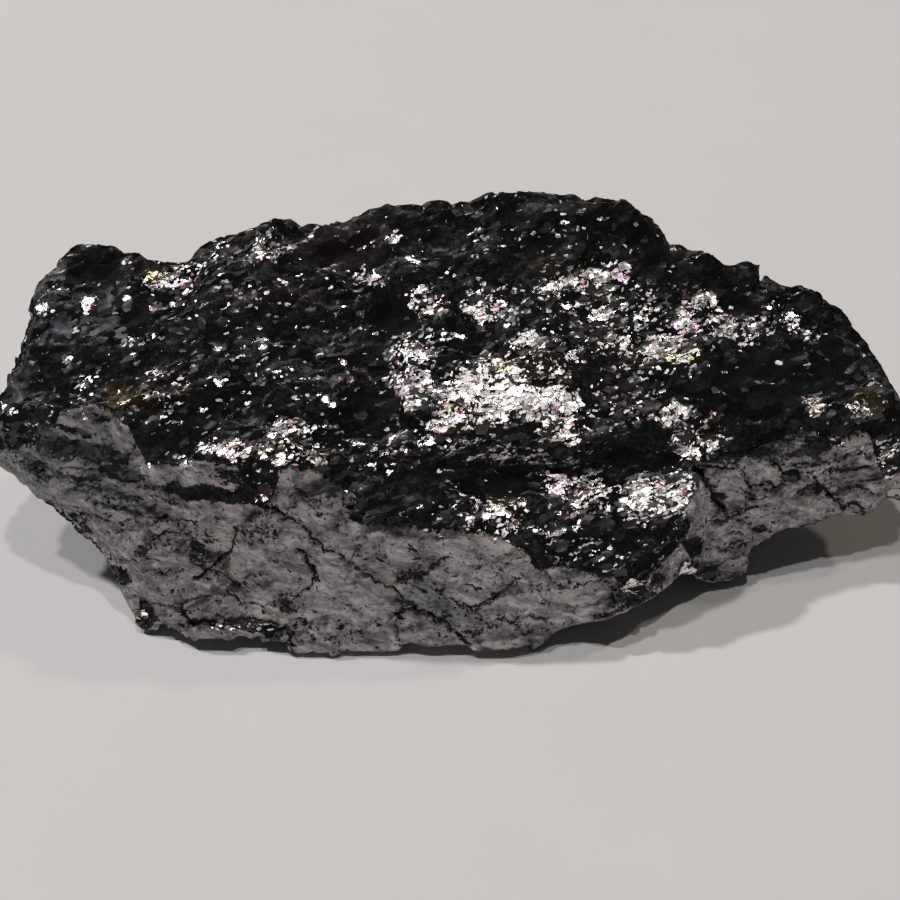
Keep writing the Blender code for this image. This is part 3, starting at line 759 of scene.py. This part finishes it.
class Value:
    """A number, vector or colour that a node puts out. Arithmetic with it adds the nodes that do it."""

    def __init__(self, socket):
        self.socket = socket

    def node(self, kind, inputs, **settings):
        return add_node(self.socket.id_data, kind, inputs, **settings)

    def math(self, operation, *others, **settings):
        kind = "Math" if self.socket.type == "VALUE" else "VectorMath"
        return self.node(kind, dict(enumerate((self, *others))), operation=operation, **settings)[0]

    def scaled(self, vector, number):
        return self.node("VectorMath", {0: vector, "Scale": number}, operation="SCALE")[0]

    def __add__(self, other):
        return self.math("ADD", other)

    def __sub__(self, other):
        return self.math("SUBTRACT", other)

    def __rsub__(self, number):
        return self.node("Math", {0: number, 1: self}, operation="SUBTRACT")[0]

    def __mul__(self, number):
        return self.math("MULTIPLY", number) if self.socket.type == "VALUE" else self.scaled(self, number)

    def __lt__(self, number):
        """1 where this is less than the number, and 0 elsewhere."""
        return self.math("LESS_THAN", number)

    def at_least(self, number):
        return self.math("MAXIMUM", number)

    def between(self, low, high):
        """0 below low, 1 above high, and even in between. With high under low it falls instead."""
        return (self - low).math("MULTIPLY", 1 / (high - low), use_clamp=True)

    def dot(self, way):
        return self.node("VectorMath", {0: self, 1: tuple(way)}, operation="DOT_PRODUCT")["Value"]

    def mix(self, a, b, kind="RGBA"):
        """A mix of two colours, vectors or numbers: a where this is 0, and b where it's 1."""
        first, result = {"RGBA": (6, 2), "VECTOR": (4, 1), "FLOAT": (2, 0)}[kind]
        return self.node("Mix", {0: self, first: a, first + 1: b}, data_type=kind)[result]

    def noise(self, scale, detail=2.0, roughness=0.5, output="Fac"):
        inputs = {"Vector": self, "Scale": scale, "Detail": detail, "Roughness": roughness}
        return self.node("TexNoise", inputs)[output]

    def cells(self, scale):
        """Random cells of space: each one's colour, and the distance from its middle."""
        found = self.node("TexVoronoi", {"Vector": self, "Scale": scale})
        return found["Color"], found["Distance"]

    def cell_edges(self, scale):
        """The distance from the edges of the random cells."""
        inputs = {"Vector": self, "Scale": scale}
        return self.node("TexVoronoi", inputs, feature="DISTANCE_TO_EDGE")["Distance"]

    def parts(self):
        """A colour's red, green and blue."""
        found = self.node("SeparateColor", {0: self})
        return found[0], found[1], found[2]

    def squeezed(self, streak, share):
        """Space squeezed along the streaks, so that what is drawn in it comes out long along them."""
        return self - self.scaled(tuple(streak), self.dot(streak) * share)


def new_material(name):
    """A material, its node tree and its shader."""
    material = bpy.data.materials.new(name)
    material.use_nodes = True
    return material, material.node_tree, material.node_tree.nodes["Principled BSDF"]


class Shungite:
    """The stone's material. Each step adds nodes, and keeps what later steps use."""

    def __init__(self):
        self.material, tree, shader = new_material("shungite_surface")
        for name in MARKS:
            setattr(self, name, add_node(tree, "Attribute", {}, attribute_name=name)["Fac"])
        self.normal = add_node(tree, "NewGeometry", {})["Normal"]
        self.toward = self.normal.dot(BACKWARD).between(-0.1, 0.3)
        self.steep = self.normal.dot((0.0, 0.0, 1.0)).between(*STEEP)
        self.make_space(add_node(tree, "TexCoord", {})["Object"] * (1 / MM))
        self.make_grains()
        self.make_shares()
        dark = self.dull.mix(self.top_colour(), self.dull_and_painted_sheen_colour())
        normal = self.lit.mix(self.base_normal(), self.bright_normal(), "VECTOR")
        set_inputs(shader, {
            "Base Color": self.lit.mix(self.front.mix(dark, self.front_colour()), self.bright_colour()),
            "Normal": normal.math("NORMALIZE"),
            "Metallic": 1.0 - self.dull * (1.0 - self.lit),
            "Roughness": self.roughness(),
        })

    def make_space(self, place):
        """Space in mm, plain and bent, and the noises that most steps share."""
        self.place = place
        bend = (place.noise(1.6, 3.0, output="Color") - HALF) * 0.8
        self.warped = place.squeezed(STREAK, 0.5) + bend
        self.rounder = place.squeezed(STREAK, 0.42) + bend
        self.flow = place.squeezed(FLOW, 0.58) + (place.noise(0.25, 2.0, output="Color") - HALF) * 2.6
        self.fine = place.noise(2.2, 4.0, 0.65)
        self.grit = (place + (3.0, 0.0, 0.0)).noise(2.2, 3.0, 0.6)
        self.coarse = (place + (7.0, 7.0, 7.0)).noise(0.55, 4.0, 0.65)
        self.blotch = (place + (5.0, 0.0, 0.0)).noise(0.25, 4.0, 0.65).between(0.32, 0.58)
        mottle = self.flow.noise(0.8, 5.0, 0.72).between(0.33, 0.60)
        bumps = (self.flow + (0.0, 0.0, 9.0)).noise(1.3, 4.0, 0.75).between(0.34, 0.58)
        self.shade = mottle * self.blotch.mix(0.65, 1.0, "FLOAT") * bumps.mix(0.36, 1.0, "FLOAT")

    def make_grains(self):
        """Three sizes of grain. Each has one flat face with its own tilt, and three random numbers."""
        plate, _ = self.warped.cells(PLATES)
        grain, _ = self.warped.cells(GRAINS)
        dot, self.dot_distance = self.rounder.cells(DOTS)
        self.plate_tilt, self.grain_tilt, self.dot_tilt = plate - HALF, grain - HALF, dot - HALF
        self.plate_pick, self.grain_pick, self.dot_pick = plate.parts(), grain.parts(), dot.parts()
        self.crumple = self.warped.noise(1.3, 4.0, 0.7, "Color") - HALF

    def make_shares(self):
        """Which grains lie on the front break, which are dull and which sparkle."""
        # The front break and the dark top meet in a ragged line, and bits of the front have come off.
        grain = self.fine - 0.5
        # Under the dark patches the front is taken away too, as darker tone or as painted shade.
        whole = (grain * 1.6 + self.dim).between(0.80, 0.70)
        self.front = (grain * 0.9 + self.plane).between(0.47, 0.53) * whole

        # Dull grains are matte, and their lighter grey paints the sheen of satin and glossy facets.
        likely = (self.sparkle * 0.42 + 0.08).at_least(self.cool * 0.6) * (1.0 - self.smooth * 0.7)
        self.dull = (self.grain_pick[2] < (self.satin * 1.6 - 0.15).at_least(likely)) * (1.0 - self.front)

        # The grains that lie along the cleavage sparkle: dots and, where they are thick, flakes and plates.
        amount = (self.sparkle * (self.coarse.between(0.36, 0.62) * 1.3 + 0.35)).at_least(self.glint * 1.1)
        self.thick = amount.between(0.30, 0.80)
        dots = (self.dot_pick[0] < amount * 0.85) * self.dot_distance.between(0.52, 0.40)
        flakes = self.grain_pick[0] < (amount - 0.45) * 0.8
        plates = self.plate_pick[0] < (amount - 0.85) * 0.55
        hairlines = self.warped.cell_edges(GRAINS).between(0.02, 0.06)
        flakes = flakes.at_least(plates) * hairlines * self.fine.between(0.36, 0.42)
        crests = self.ridge.between(0.2, 0.9) * self.fine.between(0.36, 0.52) * 0.6
        self.lit = dots.at_least(flakes).at_least(crests)

    def base_normal(self):
        """Dark grains mirror the room's dark side, the front break the table, and dull grains neither."""
        dark = (self.toward * 0.85).mix(self.normal, DARK_WAY, "VECTOR")
        tilt = self.plate_tilt * 0.10 + self.grain_tilt * 0.14 + self.dot_tilt * 0.12 + self.crumple * 0.95
        dark = dark + tilt * (1.0 - self.smooth * 0.85)
        facet, _ = (self.warped + (40.0, 0.0, 0.0)).cells(FACETS)
        chip, _ = (self.warped + (0.0, 40.0, 0.0)).cells(CHIPS)
        flat = (self.toward * 0.6).mix(self.normal, FRONT_WAY, "VECTOR")
        flat = flat + (facet - HALF) * 0.30 + (chip - HALF) * 0.26 + self.crumple * 0.30
        flat = flat + self.grain_tilt * 0.22 + self.dot_tilt * 0.12
        matte = self.normal + self.grain_tilt * 0.5 + self.crumple * 0.6
        return self.dull.mix(self.front.mix(dark, flat, "VECTOR"), matte, "VECTOR")

    def bright_normal(self):
        """Bright grains mirror the lamps or, on a steep wall, the table."""
        outward = self.normal.math("MULTIPLY", (1.0, 1.0, 0.0)) + (0.0, 0.0, OUTWARD_RISE)
        bright = self.steep.mix(self.toward.mix(self.normal, CLEAVAGE, "VECTOR"), outward, "VECTOR")
        bright = bright + self.plate_tilt * 0.10 + self.crumple * 0.35
        scatter = self.thick.mix(0.55, 0.30, "FLOAT") - self.sparkle.between(1.1, 1.5) * 0.12
        return bright + (self.grain_tilt + self.dot_tilt) * (scatter * 0.7)

    def top_colour(self):
        black = self.place.noise(0.16).mix(COAL, SOOT)
        black = (self.fine.between(0.47, 0.66) * 0.8).mix(black, ASH)
        black = (self.smooth * 0.6).mix(black, JET)
        black = (self.cool * self.coarse).mix(black, BLUISH)
        black = (self.warm * 0.7).mix(black, BROWNISH)
        return (self.gold * 0.8).mix(black, AMBER)

    def dull_and_painted_sheen_colour(self):
        # Painted sheen: a lighter matte grey in place of the facets' reflection.
        painted_sheen = (self.satin * (self.shade * 0.7 + 0.25)).at_least(self.dot_pick[0] * 0.22 + 0.04)
        return painted_sheen.mix(DULL_BLACK, self.cool.mix(PAINTED_SHEEN_GREY, PAINTED_SHEEN_BLUE))

    def dark_lines(self):
        """The cracks' cores, which come and go, the pits beside them, and fine rings and hairlines that
        paint thin shadows along the edges of flaked layers.
        """
        core = ((self.fine - 0.5) * 1.1 + self.crack).between(0.90, 1.02)
        fleck = (self.flow + (3.0, 0.0, 0.0)).noise(1.5, 3.0, 0.65)
        busy = self.crack * 0.06 + (0.6 - self.blotch) * 0.09
        pits = (fleck.math("MINIMUM", self.grit) - busy).between(0.375, 0.335)
        # Painted shadow lines at the edges of thin flaked layers and ripples.
        rings = (self.flow + (0.0, 8.0, 0.0)).noise(0.30, 2.0, 0.4) * 8.0
        rings = (rings.math("FRACT") - 0.5).math("ABSOLUTE").between(0.06, 0.02)
        rings = rings * self.fine.between(0.50, 0.42) * self.coarse.between(0.56, 0.46) * 0.8
        hairs = (self.warped + (20.0, 0.0, 0.0)).cell_edges(0.30).between(0.022, 0.010)
        hairs = hairs * self.fine.between(0.50, 0.44) * self.coarse.between(0.42, 0.50) * 0.8
        return hairs.at_least(rings).at_least(core.at_least(pits))

    def front_colour(self):
        """Satin grey, in places bluish or brown, with dark lines, painted shade beside the cracks, and the
        dark patches' tone and painted shade.
        """
        grey = self.shade.mix(FRONT_DARK, FRONT_PALE)
        grey = (self.cool * 0.6).mix(grey, self.shade.mix(FRONT_COOL_DARK, FRONT_COOL_PALE))
        grey = (self.warm * 0.4).mix(grey, FRONT_WARM)
        # Painted shade: a dark halo beside the cracks, where they sink.
        painted_shade_and_stain = self.crack.between(0.35, 1.1) * self.coarse.between(0.40, 0.60) * 0.55
        painted_shade_and_stain = painted_shade_and_stain.at_least(self.dim * self.grit.between(0.62, 0.38) * 0.9)
        return self.dark_lines().mix(painted_shade_and_stain.mix(grey, STAIN_AND_SHADE), CRACK_BLACK)

    def bright_colour(self):
        """Silver, with pale or deep pink and pale gold among it."""
        rosy = (self.dot_pick[2] < 0.25).mix(PALE_PINK, DEEP_PINK)
        golden = self.dot_pick[2].mix(GREENISH_GOLD, PALE_GOLD)
        share = (self.gold * 0.8).math("DIVIDE", self.gold + self.pink + 0.05).at_least(LEAST_TINT)
        tint = (self.grain_pick[1] < share).mix(rosy, golden)
        tinted = (self.pink * 0.7).at_least(self.gold * 0.8).at_least(LEAST_TINT)
        bright = (self.dot_pick[1] < tinted).mix(SILVER, tint)
        bright = self.steep.mix(bright, self.dot_pick[1].mix(STEEP_GREY, STEEP_WHITE))
        level = self.thick.mix(self.dot_pick[2].math("POWER", 2.5), 1.0, "FLOAT")
        return (level * 0.88 + 0.12).mix(UNLIT, bright)

    def roughness(self):
        rough = self.front.mix(self.plate_pick[1] * 0.2 + 0.24, FRONT_ROUGHNESS, "FLOAT")
        rough = self.dull.mix(rough, DULL_ROUGHNESS, "FLOAT")
        return self.lit.mix(rough, self.grain_pick[0] * 0.25 + 0.22, "FLOAT")


def pale_table():
    material, tree, shader = new_material("pale_table")
    mottle = add_node(tree, "TexCoord", {})["Object"].noise(TABLE_MOTTLE, 3.0)
    colour = mottle.mix(TABLE_DARK, TABLE_PALE)
    set_inputs(shader, {"Base Color": colour, "Roughness": 0.7, "Specular IOR Level": 0.2})
    return material


# ---------------- the scene

# Lamps: direction from the stone, share of the table's light, radius as a share of the distance, colour.
LAMPS = (
    ((0.0, 0.0, 1.0), 0.23, 0.025, (1.0, 0.99, 0.97)),
    ((-0.8, 0.3, 1.0), 0.38, 0.025, (1.0, 1.0, 1.0)),
    ((-0.4, 0.05, 1.0), 0.28, 0.03, (1.0, 1.0, 0.99)),
    ((0.80, 0.50, 1.0), 0.11, 0.03, (1.0, 0.86, 0.72)),
)
LAMP_DISTANCE = 1.6
TABLE_SHADE = 0.79  # share of the light that the table gives back
TABLE_BRIGHTNESS = 0.55
TABLE_LIGHT = TABLE_BRIGHTNESS * math.pi / TABLE_SHADE  # irradiance
ROOM_COLOUR = (0.93, 0.97, 1.0, 1)
ROOM_STRENGTH = 0.035
FLOOR_REACH = 0.6


def add_lamps():
    for i, (direction, share, radius, colour) in enumerate(LAMPS):
        towards = Vector(direction).normalized()
        lamp = bpy.data.lights.new(f"lamp_{i}", "AREA")
        lamp.shape = "DISK"
        lamp.size = 2 * radius * LAMP_DISTANCE
        irradiance = share * TABLE_LIGHT / towards.z
        lamp.energy = irradiance * math.pi * LAMP_DISTANCE ** 2
        lamp.color = colour
        aim(new_object(f"lamp_{i}", lamp), towards * LAMP_DISTANCE, towards.to_track_quat("Z", "Y"))


def add_world():
    world = bpy.data.worlds.new("dim_room")
    world.use_nodes = True
    background = world.node_tree.nodes["Background"]
    background.inputs["Color"].default_value = ROOM_COLOUR
    background.inputs["Strength"].default_value = ROOM_STRENGTH
    bpy.context.scene.world = world


def add_floor():
    mesh = bpy.data.meshes.new("table_top")
    corners = [(x * FLOOR_REACH, y * FLOOR_REACH, 0) for x, y in ((-1, -1), (1, -1), (1, 1), (-1, 1))]
    mesh.from_pydata(corners, [], [(0, 1, 2, 3)])
    mesh.materials.append(pale_table())
    floor = new_object("table_top", mesh)


def add_camera():
    camera = new_object("camera", bpy.data.cameras.new("camera"))
    camera.data.lens = FOCAL_LENGTH
    camera.data.sensor_width = SENSOR
    camera.data.clip_start = CLIP_START
    aim(camera, TARGET + BACKWARD * DISTANCE, (-BACKWARD).to_track_quat("-Z", "Y"))
    bpy.context.scene.camera = camera


stone = stone_surface(bpy.data.objects["shungite_stone"])
stone.data.materials.clear()
stone.data.materials.append(Shungite().material)
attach(stone, "root")
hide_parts("shungite_stone")
add_floor()
add_lamps()
add_world()
add_camera()
bpy.context.scene.view_settings.view_transform = "Standard"
